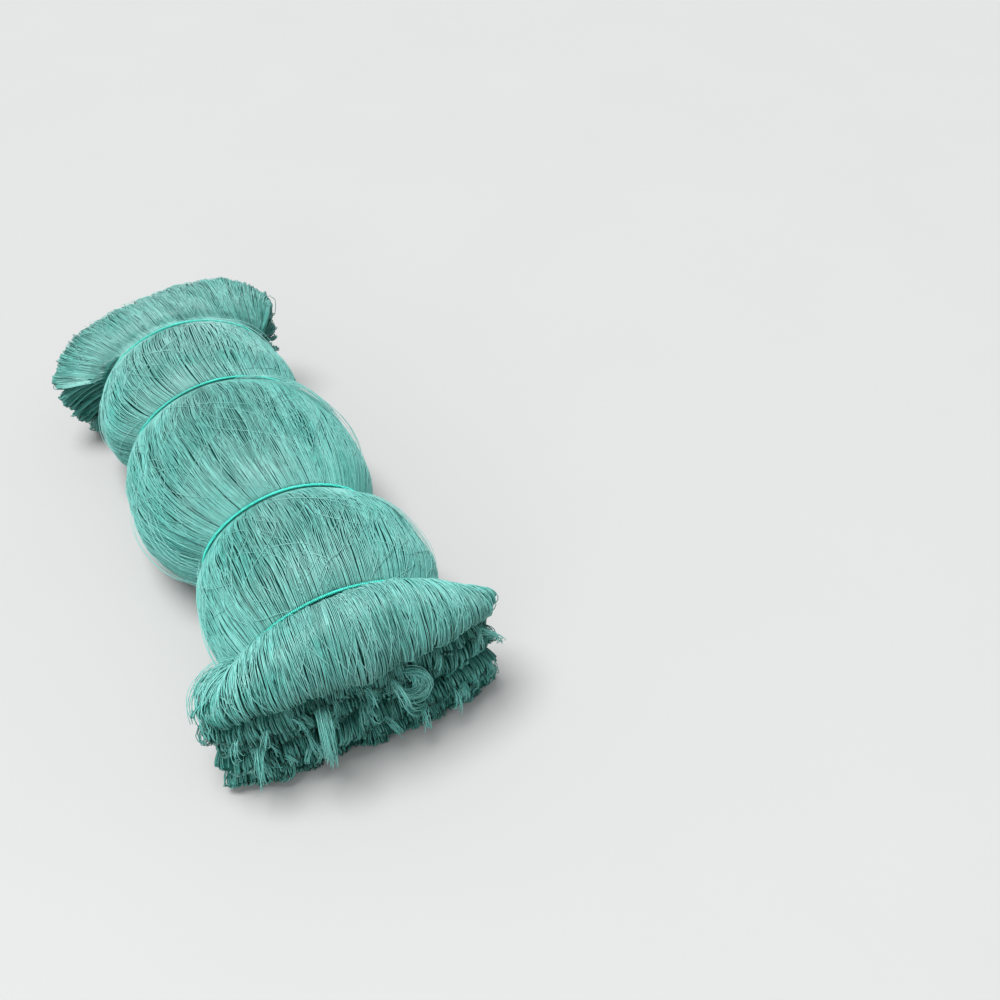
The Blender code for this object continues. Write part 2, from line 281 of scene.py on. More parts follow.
def strand_piece(name, paths, outs, radii, tone, deep_shade):
    """A piece of the net: many strands of twine, each a closed prism along its own row of paths.
    outs is the way out of the net at each point. tone is each strand's own shade, and the next is
    painted shade where it lies deep: 0 where it lies at the surface and 1 deep in the net. Its
    flank shade, painted shade too, is 0 along a strand's outermost ridge and greater down its sides."""
    count, steps = paths.shape[:2]
    radii = np.broadcast_to(radii, (count, steps))
    run = np.gradient(paths, axis=1)
    run /= np.linalg.norm(run, axis=-1, keepdims=True) + TINY
    beside = np.cross(run, outs)
    beside /= np.linalg.norm(beside, axis=-1, keepdims=True) + TINY
    over = np.cross(beside, run)
    turns = np.arange(STRAND_SIDES) * 2 * math.pi / STRAND_SIDES + math.pi / 2
    # Painted shade down each strand's sides, none along its outermost ridge
    flank_shade = np.broadcast_to((1 - np.sin(turns)) / 2, (count, steps, STRAND_SIDES))
    ring = (
        np.cos(turns)[:, None] * beside[:, :, None, :]
        + np.sin(turns)[:, None] * over[:, :, None, :]
    )
    verts = (paths[:, :, None, :] + ring * radii[:, :, None, None]).reshape(-1, 3)

    index = np.arange(count * steps * STRAND_SIDES).reshape(count, steps, STRAND_SIDES)
    after = np.roll(index, -1, axis=2)
    walls = np.stack([index[:, :-1], after[:, :-1], after[:, 1:], index[:, 1:]], -1)
    caps = index[:, 0, ::-1].reshape(-1), index[:, -1].reshape(-1)
    loops = np.concatenate([walls.reshape(-1), *caps])
    wall_count = count * (steps - 1) * STRAND_SIDES
    sizes = np.concatenate([np.full(wall_count, 4), np.full(2 * count, STRAND_SIDES)])
    mesh = bpy.data.meshes.new(name)
    mesh.vertices.add(len(verts))
    mesh.vertices.foreach_set("co", verts.astype(np.float32).ravel())
    mesh.loops.add(len(loops))
    mesh.loops.foreach_set("vertex_index", loops.astype(np.int32))
    mesh.polygons.add(len(sizes))
    starts = np.concatenate([[0], np.cumsum(sizes)[:-1]])
    mesh.polygons.foreach_set("loop_start", starts.astype(np.int32))
    mesh.update(calc_edges=True)
    mesh.shade_smooth()

    for label, values in (("tone", tone), ("deep_shade", deep_shade)):
        layer = mesh.attributes.new(label, "FLOAT", "POINT")
        spread = np.broadcast_to(np.asarray(values, float), (count, steps))
        layer.data.foreach_set("value", np.repeat(spread, STRAND_SIDES).astype(np.float32))
    layer = mesh.attributes.new("flank_shade", "FLOAT", "POINT")
    layer.data.foreach_set("value", flank_shade.astype(np.float32).ravel())
    mesh.uv_layers.new(name="OFBake").data.foreach_set("uv", bake_places(count, steps))
    made = add_object(name, mesh)
    as_net(made)
    return made


# The strands' map: its columns, the margin round a strip, and the size and place of an end's face
BAKE_COLUMNS = 2
BAKE_MARGIN = 0.04
BAKE_CAP = 0.4
BAKE_CAP_OUT = 1.2


def bake_places(count, steps):
    """The places of a strand piece's faces on its map: a strip for each strand, in columns."""
    rows = math.ceil(count / BAKE_COLUMNS)
    strand = np.arange(count)
    left = (strand % BAKE_COLUMNS) / BAKE_COLUMNS
    low = (strand // BAKE_COLUMNS) / rows
    u = left[:, None] + np.linspace(BAKE_MARGIN, 1 - BAKE_MARGIN, steps) / BAKE_COLUMNS
    v_low = (low + BAKE_MARGIN / rows)[:, None, None]
    v_high = (low + (1 - BAKE_MARGIN) / rows)[:, None, None]
    walls = np.empty((count, steps - 1, STRAND_SIDES, 4, 2))
    walls[..., 0, 0] = walls[..., 1, 0] = u[:, :-1, None]
    walls[..., 2, 0] = walls[..., 3, 0] = u[:, 1:, None]
    walls[..., 0, 1] = walls[..., 3, 1] = v_low
    walls[..., 1, 1] = walls[..., 2, 1] = v_high
    caps = []
    corner = np.arange(STRAND_SIDES) * 2 * math.pi / STRAND_SIDES
    reach = BAKE_CAP * BAKE_MARGIN / BAKE_COLUMNS
    for at, way in ((u[:, 0], -1), (u[:, -1], 1)):
        cap = np.empty((count, STRAND_SIDES, 2))
        cap[..., 0] = at[:, None] + way * reach * (BAKE_CAP_OUT + np.cos(corner))
        cap[..., 1] = (low + 0.5 / rows)[:, None] + BAKE_CAP / rows * np.sin(corner)
        caps.append(cap.reshape(-1))
    return np.concatenate([walls.reshape(-1), *caps]).astype(np.float32)


OUTLINE_POINTS = 1441


def spread_round(x):
    """How far each angle lies along the net's outside at x, to place strands evenly."""
    angles = np.linspace(0, 2 * math.pi, OUTLINE_POINTS)
    outline = body_points(x, angles)
    steps = np.linalg.norm(np.diff(outline, axis=0), axis=1)
    return angles, np.concatenate([[0], np.cumsum(steps)])


# The slits between strands: how long and wide half of one is, how near a lobe's or fold's ends
# they come, and how far beside them strands are pushed. Each has so much area to itself.
SLIT_HALF_LENGTH = (0.004, 0.013)
SLIT_HALF_WIDTH = (0.0002, 0.0008)
SLIT_NARROWING = (0.5, 1.0)
SLIT_PLACES = (0.12, 0.88)
SLIT_REACH = 0.0022
SLIT_FARTHEST = 4 * SLIT_REACH
LOBE_SLIT_AREAS = (0.00130, 0.00042, 0.00040)
FOLD_SLIT_AREA = 0.00030


def make_slits(rng, width, length, area):
    """Places where strands part: how far round and along, half length and half width."""
    count = int(width * length / area)
    columns = (
        rng.uniform(0, width, count),
        length * rng.uniform(*SLIT_PLACES, count),
        rng.uniform(*SLIT_HALF_LENGTH, count),
        rng.uniform(*SLIT_HALF_WIDTH, count) * rng.uniform(*SLIT_NARROWING, count),
    )
    return np.stack(columns, 1)


def part_at_slits(place, along, slits):
    """How far each strand is pushed aside by the slits it runs past."""
    push = np.zeros(np.broadcast_shapes(place.shape, along.shape))
    for middle, start, half_length, half_width in slits:
        beside = place - middle
        near = np.abs(beside[:, 0]) < SLIT_FARTHEST
        fade = np.maximum(1 - ((along - start) / half_length) ** 2, 0) ** 1.5
        side = np.where(beside[near] < 0, -1.0, 1.0)
        push[near] += side * half_width * np.exp(-np.abs(beside[near]) / SLIT_REACH) * fade
    return push


# Waves of single strands: how far they stray, and how many radians they turn in a metre or, for
# a lock, over its whole length
Wave = namedtuple("Wave", "amount least_turn most_turn")
LOBE_WAVE = Wave(0.00045, 60, 190)
LOBE_RISE = Wave(0.0005, 50, 190)
FOLD_WAVE = Wave(0.0008, 30, 130)
FOLD_RISE = Wave(0.0006, 50, 210)
LOCK_WAVE = Wave(0.0022, 1.5, 5)
PHASES = 6.3

# Waves that neighbouring strands share: how wide across them, how long, how far, and a seed
Bunch = namedtuple("Bunch", "wide long amount seed")
LOBE_PUSHES = (Bunch(0.018, 0.075, 0.0036, 1), Bunch(0.0045, 0.034, 0.0013, 2))
LOBE_RELIEF = (
    Bunch(0.0037, 0.048, 0.0007, 3),
    Bunch(0.013, 0.070, 0.0010, 6),
    Bunch(0.034, 0.11, 0.0006, 4),
)
LOBE_SHADES = Bunch(0.011, 0.2, 0.16, 5)

# Strands that cross the others: what share of them, how steeply and how far above the others
Crossing = namedtuple("Crossing", "share slope lift")
LOBE_CROSSING = Crossing(0.16, 0.12, 0.0011)
FOLD_CROSSING = Crossing(0.14, 0.12, 0.0009)
CROSSING_PALER = 0.12
CROSSING_PLACES = (0.2, 0.8)
FOLD_CROSSING_PLACE = 0.05

# How far a strand is out of its even place, in strands, how the lobes' strands free themselves
# from their ties, and how strands are thinned out where the net lies on the floor
OUT_OF_PLACE = 0.35
FREEING = 0.7
FLOOR_STRIP = 0.0025
FLOOR_SHARE = 5

# Shades from 0 to 1: the middle one, how they spread, and how deep a strand lies to take
# the darkest painted shade
MIDDLE_TONE = 0.5
LOBE_TONES = 0.15
FOLD_TONES = 0.22
LOBE_DEEPEST = 0.0040
FOLD_DEEPEST = 0.0032
OUTWARD = 0.004


def own_waves(rng, count, run, wave):
    """A wave of its own for each strand."""
    return rng.normal(0, wave.amount, (count, 1)) * np.sin(
        run * rng.uniform(wave.least_turn, wave.most_turn, (count, 1))
        + rng.uniform(0, PHASES, (count, 1))
    )


def bunched(bunch, place, run, seed, scale=1.0):
    """A bunch's wave, at each strand's place and along its run."""
    return bunch.amount * scale * drift(place / bunch.wide, run / bunch.long, seed + bunch.seed)


def lobe_strands(k, name, seed):
    """The strands of one lobe, from the middle of one tie to the middle of the next."""
    rng = np.random.default_rng(seed)
    before, after = TIES[k], TIES[k + 1]
    length = after.x - before.x
    halfway = (before.x + after.x) / 2
    angles, round_it = spread_round(halfway)
    total = round_it[-1]
    count = int(total / TWINE_SPACING)
    place = (np.arange(count) + rng.uniform(-OUT_OF_PLACE, OUT_OF_PLACE, count)) * total / count
    middle = body_points(halfway, np.interp(place, round_it, angles))
    shown = (middle[:, 2] > FLOOR_STRIP) | (np.arange(count) % FLOOR_SHARE == 0)
    place = place[shown][:, None]
    count = len(place)
    share = np.linspace(0, 1, int(length / TWINE_STEP) + 2)[None, :]
    along = share * length
    free = np.sin(math.pi * share) ** FREEING

    def all_round(bunches):
        """The bunches' waves, which meet themselves round the lobe."""
        waves = 0.0
        for bunch in bunches:
            turns = round(total / bunch.wide)
            waves = waves + bunch.amount * drift(
                place / total * turns, along / bunch.long, seed + bunch.seed, turns
            )
        return waves

    push = all_round(LOBE_PUSHES) + own_waves(rng, count, along, LOBE_WAVE)
    crossing = rng.uniform(size=(count, 1)) < LOBE_CROSSING.share
    slope = crossing * rng.uniform(-LOBE_CROSSING.slope, LOBE_CROSSING.slope, (count, 1))
    push += slope * (along - length * rng.uniform(*CROSSING_PLACES, (count, 1)))
    push += part_at_slits(place, along, make_slits(rng, total, length, LOBE_SLIT_AREAS[k]))
    relief = all_round(LOBE_RELIEF)
    relief += LOBE_CROSSING.lift * crossing + own_waves(rng, count, along, LOBE_RISE)
    angle = np.interp((place + push * free) % total, round_it, angles)
    x = before.x + along + np.zeros_like(angle)
    paths = body_points(x, angle, relief * free - TWINE_RADIUS)
    outs = body_points(x, angle, relief * free + OUTWARD) - paths
    paths[..., 2] = np.maximum(paths[..., 2], TWINE_RADIUS)
    tone = rng.normal(MIDDLE_TONE, LOBE_TONES, (count, 1)) + CROSSING_PALER * crossing
    tone = tone + bunched(LOBE_SHADES, place, along, seed)
    # Painted shade where a strand lies deep among the others
    deep_shade = np.clip(-relief / LOBE_DEEPEST, 0, 1) * free
    return strand_piece(name, paths, outs, TWINE_RADIUS, tone, deep_shade)


def split_to_tufts(rng, width, least, most):
    """Edges of uneven tufts that fill a width."""
    edges = [0.0]
    while edges[-1] < width:
        edges.append(edges[-1] + rng.uniform(least, most))
    return np.array(edges)


FoldEnd = namedtuple("FoldEnd", "label seed tie outward folds")
NEAR_END = FoldEnd("near", 51, TIES[-1], 1, NEAR_FOLDS)
FAR_END = FoldEnd("far", 71, TIES[0], -1, FAR_FOLDS)
ENDS = (NEAR_END, FAR_END)
END_SEED = 3
DRAWN_FROM = -0.03
DRAWN_IN = 0.20


def drawn_in(tie, points, along, across, side, lift):
    """Draws the top of a fold down onto the net's waist where it comes out of the tie."""
    waist = body_points(np.full_like(across, tie.x), math.pi / 2 - across * ROOT_SPREAD, lift)
    waist[..., 0] = points[..., 0]
    reach = DRAWN_IN + DRAWN_IN * np.abs(across)
    taken = (1 - smooth((along - DRAWN_FROM) / reach)) * (side > 0)
    return mix(points, waist, taken[..., None])


def placed_fold(end, level):
    """A fold of this end, or one part of the way between two of them, and where it belongs."""
    low = int(level)
    first, second = end.folds[low], end.folds[min(low + 1, len(end.folds) - 1)]
    fold = Fold(*(mix(a, b, level - low) for a, b in zip(first, second)))
    return fold, end.tie, end.outward, level + END_SEED * end.outward


def round_tip(fold, upper, turns, lower):
    """Along and side for a way out over a fold, round its tip and back beneath it."""
    turn = np.linspace(0, math.pi, turns)
    along = np.concatenate([upper, 1 - tip_share(fold) * (1 - np.sin(turn)), lower])
    side = np.concatenate([np.ones(len(upper)), np.sign(np.cos(turn)), -np.ones(len(lower))])
    side[side == 0] = 1
    return along, side


# Tufts of a fold, and the small locks in a tuft: how wide they are, how much farther than the
# others they reach, lean and rise, how they draw together at the tip, how far their sides hang
# back behind their middles, and how much paler they are
Tuft = namedtuple("Tuft", "width reach lean lift pinch hang_back paler")
TUFTS = (
    Tuft(
        (0.010, 0.030), (-0.0020, 0.0020), (-0.0026, 0.0026), (-0.0024, 0.0024),
        (-0.06, 0.24), 0.0026, (-0.08, 0.08),
    ),
    Tuft(
        (0.0024, 0.0080), (-0.0009, 0.0007), (-0.0006, 0.0006), (-0.0005, 0.0005),
        (-0.05, 0.34), 0.0010, (-0.06, 0.06),
    ),
)
UNEVEN_REACH = 0.0006
FOLD_PUSH = Bunch(0.0050, 0.030, 0.0011, 1)
FOLD_LOOSE_PUSH = Bunch(0.024, 0.06, 0.0026, 4)
FOLD_RELIEF = Bunch(0.0034, 0.022, 0.0008, 2)
FOLD_LOOSE_RELIEF = Bunch(0.013, 0.06, 0.0012, 3)

# Where along a fold its strands begin to stray and to draw together, and how soon they are free
STRAY_FROM = 0.25
PINCH_FROM = 0.66
WAVES_FREE = 5
SLITS_FREE = 3
RELIEF_FREE = 4
TIP_LENGTH = 0.6
TIP_POINTS = 801

# Painted shade on a strand at its fold's front, once it has turned under the tip and in the
# gaps between folds, of 0 to 1, and how much paler a painted highlight makes the crest of the
# near top fold
FRONT_PAINTED_SHADE = 0.32
FRONT_FROM = 0.46
UNDER_PAINTED_SHADE = 0.38
GAP_PAINTED_SHADE = 0.85
GAP_FADES = (0.74, 0.98)
CREST_PAINTED_HIGHLIGHT = 0.34
CREST_FADES = (0.40, 0.75)

# Layers of strands over a fold: how near the tie they start and end, with 0 at the tie; their
# steps out, round the tip and back; how much the tufts stray; how deep the strands lie, and how
# thick they are beside single twine
Layer = namedtuple("Layer", "start finish steps loose sink thick")
TOP_LAYERS = (
    Layer(-0.03, 0.55, (14, 9, 5), 1.0, 0.0, 1.0),
    Layer(0.02, 0.70, (14, 9, 5), 1.0, 0.0017, 2.1),
)
LOWER_INNER = Layer(0.10, 0.6, (6, 7, 2), 1.2, 0.0026, 3.2)
NEAR_OUTER = Layer(0.06, 0.6, (6, 7, 2), 2.6, 0.0, 1.0)
LOWER_LAYERS = {
    "near": (NEAR_OUTER, LOWER_INNER),
    "far": (NEAR_OUTER._replace(thick=1.2), LOWER_INNER),
}
BETWEEN_LAYER = Layer(0.05, 0.6, (6, 7, 2), 2.2, 0.0016, 1.4)

# Levels between the far folds where more strands fill the gaps
BETWEEN_LEVELS = (0.5, 1.5, 2.6)


def fade_out(value, fades):
    """From 1 where a value comes below both of these to 0 where it is above them."""
    return 1 - smooth((value - fades[0]) / (fades[1] - fades[0]))


def strands_across(rng, args, radius):
    """Strands side by side over a fold: its width at the tip, their places there, and across."""
    fine = np.linspace(-1, 1, TIP_POINTS)
    tips = fold_parts(*args, 1.0, fine, (0, 0, 0))
    run = np.concatenate([[0], np.cumsum(np.linalg.norm(np.diff(tips, axis=0), axis=1))])
    width = run[-1]
    count = int(width / (TWINE_SPACING * radius / TWINE_RADIUS))
    out_of_place = rng.uniform(-OUT_OF_PLACE, OUT_OF_PLACE, count)
    place = (np.arange(count) + 0.5 + out_of_place) * width / count
    return width, place[:, None], np.interp(place, run, fine)[:, None]


def fold_run(fold, layer):
    """A strand's way out over a fold and back: along, side and how far it has run."""
    turn_at = 1 - tip_share(fold)
    upper = np.linspace(layer.start, turn_at, layer.steps[0], endpoint=False)
    lower = np.linspace(turn_at, layer.finish, layer.steps[2] + 1)[1:]
    along, side = round_tip(fold, upper, layer.steps[1], lower)
    distance = np.cumsum(np.concatenate([[0], np.abs(np.diff(along)) * fold.reach]))
    distance = distance + TIP_LENGTH * fold.thickness * (side < 0)
    return along[None, :], side[None, :], distance[None, :]


def fold_painted_shade(level, along, side, relief):
    """The painted shade of the strands where they lie deep, have turned under or are in a gap."""
    deep = np.clip(-relief / FOLD_DEEPEST, 0, 1) * smooth(along * RELIEF_FREE)
    front = FRONT_PAINTED_SHADE * smooth((along - FRONT_FROM) / (1 - FRONT_FROM))
    in_gap = GAP_PAINTED_SHADE * fade_out(along, GAP_FADES) * ((side < 0) | (level > 0))
    return np.maximum(deep, np.maximum(np.where(side > 0, front, UNDER_PAINTED_SHADE), in_gap))


def fold_paths(end, level, seed, layer):
    """A layer of strands that run out over a fold, round its tip and back beneath it."""
    rng = np.random.default_rng(seed)
    loose, radius = layer.loose, layer.thick * TWINE_RADIUS
    args = placed_fold(end, level)
    fold = args[0]
    width, place, across = strands_across(rng, args, radius)
    count = len(place)
    along, side, distance = fold_run(fold, layer)

    def tufted(tuft):
        """Which tuft each strand is in, half its width, and how far off its middle it is."""
        edges = split_to_tufts(rng, width, *tuft.width)
        which = np.searchsorted(edges, place[:, 0]) - 1
        half = (edges[which + 1] - edges[which])[:, None] / 2
        middle = (edges[which] + edges[which + 1])[:, None] / 2
        return tuft, which, half, (place - middle) / half

    def each(which, limits):
        return rng.uniform(*limits, which.max() + 1)[which][:, None]

    def strayed(name):
        return sum(each(which, getattr(tuft, name)) for tuft, which, _, _ in tufts)

    def waved(wave, scale=1.0):
        turns = rng.uniform(wave.least_turn, wave.most_turn, (count, 1))
        amounts = rng.normal(0, wave.amount * scale, (count, 1))
        return amounts * np.sin(distance * turns + rng.uniform(0, PHASES, (count, 1)))

    tufts = [tufted(tuft) for tuft in TUFTS]
    reach = loose * strayed("reach")
    for tuft, _, _, off in tufts:
        reach -= tuft.hang_back * off**2
    reach += rng.normal(0, UNEVEN_REACH, (count, 1))
    lean = loose * strayed("lean")
    lift = loose * strayed("lift")
    pinch = sum(each(which, tuft.pinch) * off * half for tuft, which, half, off in tufts)
    towards_tip = smooth((along - STRAY_FROM) / (1 - STRAY_FROM))
    at_tip = smooth((along - PINCH_FROM) / (1 - PINCH_FROM))

    sideways = lean * towards_tip - pinch * at_tip
    sideways += waved(FOLD_WAVE, loose) * smooth(along * WAVES_FREE)
    crossing = (rng.uniform(size=(count, 1)) < FOLD_CROSSING.share) * (level == 0)
    slope = crossing * rng.uniform(-FOLD_CROSSING.slope, FOLD_CROSSING.slope, (count, 1))
    sideways += slope * (distance - FOLD_CROSSING_PLACE)
    slits = make_slits(rng, width, fold.reach, FOLD_SLIT_AREA)
    parted = part_at_slits(place, along * fold.reach, slits)
    sideways += parted * smooth(along * SLITS_FREE)
    sideways += bunched(FOLD_PUSH, place, distance, seed)
    sideways += bunched(FOLD_LOOSE_PUSH, place, distance, seed, loose)
    shift = (reach * towards_tip, lift * towards_tip, sideways)
    relief = bunched(FOLD_RELIEF, place, distance, seed)
    relief += bunched(FOLD_LOOSE_RELIEF, place, distance, seed, loose)
    relief += waved(FOLD_RISE) + FOLD_CROSSING.lift * crossing - layer.sink
    swell = 1 + (relief * smooth(along * RELIEF_FREE) - radius) * 2 / fold.thickness
    along, across = np.broadcast_arrays(along, across)
    side = np.broadcast_to(side, along.shape)
    paths, outs = fold_points(*args, along, across, side, swell, shift)
    if level == 0:
        paths = drawn_in(end.tie, paths, along, across, side, -radius - layer.sink)
    paths[..., 2] = np.maximum(paths[..., 2], radius)
    tone = rng.normal(MIDDLE_TONE, FOLD_TONES, (count, 1)) + strayed("paler")
    # Painted highlight: the near top fold is paler from the tie to its crest
    if end is NEAR_END and level == 0:
        tone = tone + CREST_PAINTED_HIGHLIGHT * fade_out(along, CREST_FADES)
    # The last of these is painted shade: where strands lie deep, at fronts, undersides and gaps
    shades = radius, tone, fold_painted_shade(level, along, side, relief)
    return paths, outs, *(np.broadcast_to(values, along.shape) for values in shades)


def fold_strands(name, layers):
    """One piece of several layers of strands."""
    return strand_piece(name, *(np.concatenate(group) for group in zip(*layers)))


def tube_faces(count, around, start, closed=False):
    """The faces of a tube through so many rings of points, closed on itself or with two ends."""
    index = start + np.arange(count * around).reshape(count, around)
    after = np.roll(index, -1, axis=0)
    walls = np.stack([index, np.roll(index, -1, axis=1), np.roll(after, -1, axis=1), after], -1)
    if closed:
        return walls.reshape(-1, 4).tolist()
    ends = [index[0, ::-1].tolist(), index[-1].tolist()]
    return walls[:-1].reshape(-1, 4).tolist() + ends


HEART_AROUND = 72
HEART_STATIONS = 19
HEART_ACROSS = 41
HEART_WIDTH = 0.985
HEART_SETTLE = 0.001
HEART_START = 0.02
HEART_STRAIGHT = 8
HEART_TURNS = 9


def heart_lobe(before, after):
    """Rings of points round a lobe, under its strands."""
    share = (1 - np.cos(np.linspace(0, math.pi, HEART_STATIONS))) / 2
    angles = np.linspace(0, 2 * math.pi, HEART_AROUND, endpoint=False)
    x = before.x + (after.x - before.x) * share
    return body_points(x[:, None], angles[None, :], -HEART_DEPTH)


def heart_fold(end, level):
    """Rings of points round a fold, one after another over its width, under its strands."""
    args = placed_fold(end, level)
    fold = args[0]
    straight = np.linspace(HEART_START, 1 - tip_share(fold), HEART_STRAIGHT, endpoint=False)
    along, side = round_tip(fold, straight, HEART_TURNS, straight[::-1])
    across = np.sin(np.linspace(-1, 1, HEART_ACROSS) * math.pi / 2) * HEART_WIDTH
    across = -end.outward * across[:, None]
    along, across = np.broadcast_arrays(along[None, :], across)
    side = np.broadcast_to(side[None, :], along.shape)
    swell = 1 - 2 * HEART_DEPTH / fold.thickness
    rings, _ = fold_points(*args, along, across, side, swell, (-HEART_DEPTH, 0.0, 0.0))
    if level == 0:
        rings = drawn_in(end.tie, rings, along, across, side, -HEART_DEPTH - HEART_SETTLE)
    return rings


def make_heart():
    """The net under its outer strands, seen only in the slits between them, in painted shade."""
    tubes = [heart_lobe(before, after) for before, after in zip(TIES, TIES[1:])]
    tubes += [heart_fold(end, level) for end in ENDS for level in range(len(end.folds))]
    verts, faces = [], []
    for rings in tubes:
        rings[..., 2] = np.maximum(rings[..., 2], HEART_DEPTH / 2)
        faces.extend(tube_faces(*rings.shape[:2], len(verts)))
        verts.extend(rings.reshape(-1, 3).tolist())
    mesh = bpy.data.meshes.new("net_inside")
    mesh.from_pydata(verts, [], faces)
    mesh.validate()
    mesh.shade_smooth()
    made = add_object("net_inside", mesh)
    as_net(made)
    return made


def carried_frames(path, first_out, closed):
    """Two directions square to a path at each of its points, carried along it without twisting."""
    if closed:
        run = np.roll(path, -1, axis=0) - np.roll(path, 1, axis=0)
    else:
        run = np.gradient(path, axis=0)
    run /= np.linalg.norm(run, axis=1, keepdims=True)
    outs = np.empty_like(path)
    out = np.asarray(first_out, float)
    for k, way in enumerate(run):
        out = out - way * np.dot(out, way)
        out /= np.linalg.norm(out)
        outs[k] = out
    return outs, np.cross(run, outs)


PLIES = 3
PLY_POINTS = 12
PLY_PITCH = 0.0052
PLY_BULGE = 0.26
PLY_ROUNDNESS = 0.6


def plied_cord(path, radius, closed, first_out, start):
    """The points and faces of a cord twisted from three plies; start is its first point's number."""
    outs, beside = carried_frames(path, first_out, closed)
    steps = np.linalg.norm(np.diff(path, axis=0), axis=1)
    run = np.concatenate([[0], np.cumsum(steps)])
    length = run[-1] + (np.linalg.norm(path[0] - path[-1]) if closed else 0)
    turns = round(length / PLY_PITCH) if closed else length / PLY_PITCH
    twist = run / length * turns * 2 * math.pi
    around = np.arange(PLY_POINTS) * 2 * math.pi / PLY_POINTS
    ridge = np.abs(np.cos(PLIES * around / 2)) ** PLY_ROUNDNESS
    bulge = radius * (1 - PLY_BULGE + PLY_BULGE * ridge)
    turned = around[None, :] + twist[:, None]
    verts = (
        path[:, None, :]
        + (bulge * np.cos(turned))[..., None] * outs[:, None, :]
        + (bulge * np.sin(turned))[..., None] * beside[:, None, :]
    ).reshape(-1, 3)
    return verts.tolist(), tube_faces(len(path), PLY_POINTS, start, closed)


CURVE_STEPS = 24


def smooth_path(points, count):
    """A smooth curve through a few points, by Catmull and Rom's formula, evenly divided."""
    points = np.asarray(points, float)
    padded = np.vstack([2 * points[0] - points[1], points, 2 * points[-1] - points[-2]])
    fine = []
    for k in range(len(points) - 1):
        before, start, end, after = padded[k : k + 4]
        t = np.linspace(0, 1, CURVE_STEPS, endpoint=False)[:, None]
        fine.append(
            0.5
            * (
                2 * start
                + (end - before) * t
                + (2 * before - 5 * start + 4 * end - after) * t**2
                + (3 * start - before - 3 * end + after) * t**3
            )
        )
    fine = np.vstack([*fine, points[-1:]])
    run = np.concatenate([[0], np.cumsum(np.linalg.norm(np.diff(fine, axis=0), axis=1))])
    even = np.linspace(0, run[-1], count)
    return np.stack([np.interp(even, run, fine[:, axis]) for axis in range(3)], 1)


def around_waist(tie, angle, lift):
    """Points this far off the net's waist, in the plane of a tie, and the way out there."""
    small = 1e-3
    angle = np.asarray(angle, float)
    here = body_points(tie.x, angle)
    along = body_points(tie.x, angle + small) - body_points(tie.x, angle - small)
    out = np.stack([np.zeros_like(angle), along[..., 2], -along[..., 1]], -1)
    out /= np.linalg.norm(out, axis=-1, keepdims=True)
    return here + out * np.asarray(lift)[..., None], out


KNOT_POINTS = 64
KNOT_NARROWING = 0.8
KNOT_FLATNESS = 0.55


def overhand(centre, out, along, size):
    """The path of a pulled-tight overhand knot."""
    t = np.linspace(0, 2 * math.pi, KNOT_POINTS, endpoint=False)
    third = np.cross(out, along)
    flat = (np.sin(t) + 2 * np.sin(2 * t)) / 3, (np.cos(t) - 2 * np.cos(2 * t)) / 3
    return (
        centre
        + size * flat[0][:, None] * along
        + size * KNOT_NARROWING * flat[1][:, None] * third
        + size * KNOT_FLATNESS * -np.sin(3 * t)[:, None] * out
    )


# A tie's ring, the cord of its knot and free ends, how the ends stray and how their plies fray
RING_POINTS = 340
RING_SWAY = 0.0005
KNOT_SIZE = 0.0027
KNOT_CORD = 0.0011
TAIL_CORD = 0.00112
TAIL_GUIDES = 9
TAIL_POINTS = 40
TAIL_LEAN = 0.006
TAIL_SWAY = 0.0012
FRAY_RADIUS = 0.00055
FRAY_LENGTH = 0.0045
FRAY_SPREAD = 0.0011
FRAY_POINTS = 8


def make_tie(number, tie, seed):
    """A tie of plied cord: its ring, its knot and two free ends that fray a little."""
    rng = np.random.default_rng(seed)
    verts, faces = [], []

    def add(path, radius, closed, first_out):
        points, walls = plied_cord(path, radius, closed, first_out, len(verts))
        verts.extend(points)
        faces.extend(walls)

    angles = np.linspace(0, 2 * math.pi, RING_POINTS, endpoint=False)
    ring, _ = around_waist(tie, angles, np.full(RING_POINTS, CORD_LIFT))
    ring[:, 0] += RING_SWAY * np.sin(3 * angles + seed)
    add(ring, CORD_RADIUS, True, (0, 1, 0.01))
    knot_angle = math.radians(tie.knot_angle)
    centre, out = around_waist(tie, knot_angle, CORD_LIFT + KNOT_LIFT)
    add(overhand(centre, out, np.array([0.0, 0, 1.0]), KNOT_SIZE), KNOT_CORD, True, out)
    share = np.linspace(0, 1, TAIL_GUIDES)
    for turn in (1, -1):
        angles = knot_angle + turn * share * TAIL_TURN
        lift = CORD_LIFT + KNOT_LIFT + TAIL_RISE * np.sin(math.pi / 2 * share)
        guide, outs = around_waist(tie, angles, lift)
        guide[:, 0] += turn * TAIL_LEAN * share**1.5 + TAIL_SWAY * np.sin(7 * share + seed)
        tail = smooth_path(guide, TAIL_POINTS)
        add(tail, TAIL_CORD, False, outs[0])
        way = tail[-1] - tail[-2]
        way /= np.linalg.norm(way)
        for _ in range(PLIES):
            spread = rng.normal(0, FRAY_SPREAD, 3)
            parting = tail[-1] + way * 0.001 + spread * 0.3
            fray = smooth_path([tail[-3], parting, tail[-1] + way * FRAY_LENGTH + spread], FRAY_POINTS)
            add(fray, FRAY_RADIUS, False, outs[-1])
    mesh = bpy.data.meshes.new(f"cord_{number}")
    mesh.from_pydata(verts, [], faces)
    mesh.shade_smooth()
    made = add_object(f"tie_cord_{number}", mesh)
    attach(made, "root")
    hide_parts(f"tie_{number}")
    return made


